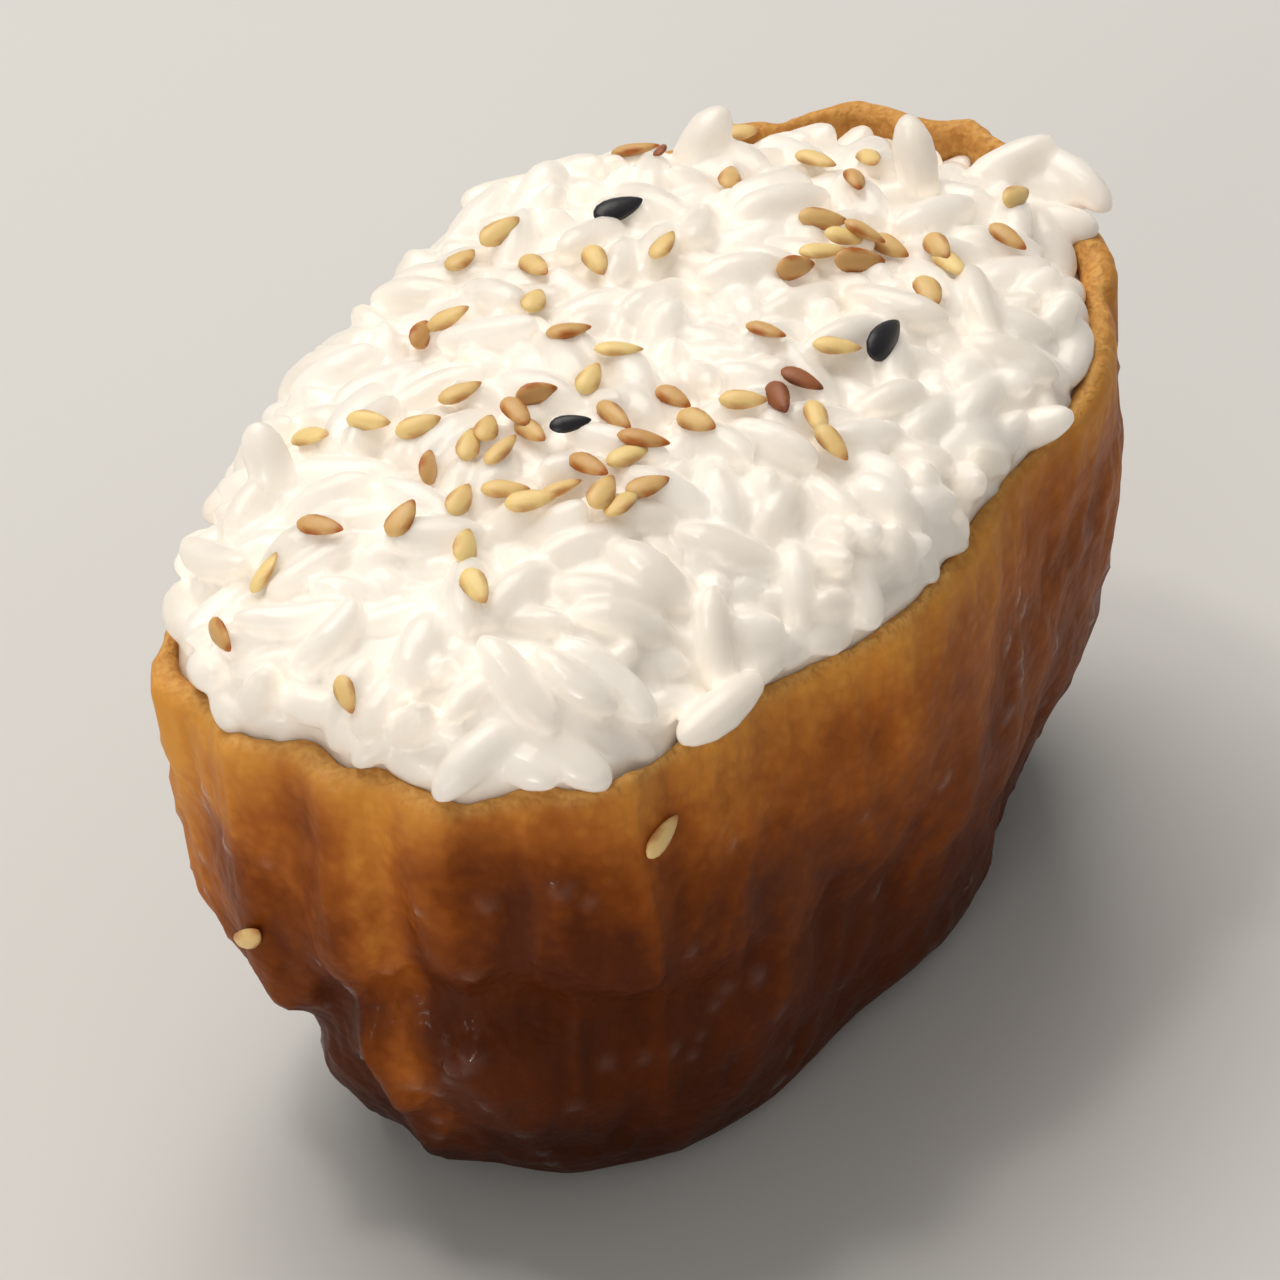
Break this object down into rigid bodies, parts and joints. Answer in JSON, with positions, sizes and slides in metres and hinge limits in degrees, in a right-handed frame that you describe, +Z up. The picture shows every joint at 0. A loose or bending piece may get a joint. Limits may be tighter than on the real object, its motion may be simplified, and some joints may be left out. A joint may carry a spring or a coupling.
{
  "type": "inari sushi",
  "caption": "Inari sushi: an open-topped pouch of seasoned fried tofu skin, filled with a mound of sushi rice under sesame seeds.",
  "frame": {"origin": "under the middle of the piece, on the face it stands on", "axes": "+X along the pouch, from its blunt end to its rounder end; +Z up, out of the open top"},
  "size_m": [0.0744, 0.0436, 0.0453],
  "materials": {
    "tofu_skin": "moist, smooth and dimpled, golden brown with darker soaked patches",
    "rice": "moist, slightly glossy white grains",
    "golden_sesame": "satin, pale gold hulled seeds",
    "black_sesame": "satin black seeds",
    "dark_toasted_sesame": "satin, dark toasted seeds"
  },
  "bodies": {
    "root": {"pouch": "tofu_skin", "rice": "rice"}
  },
  "joints": []
}
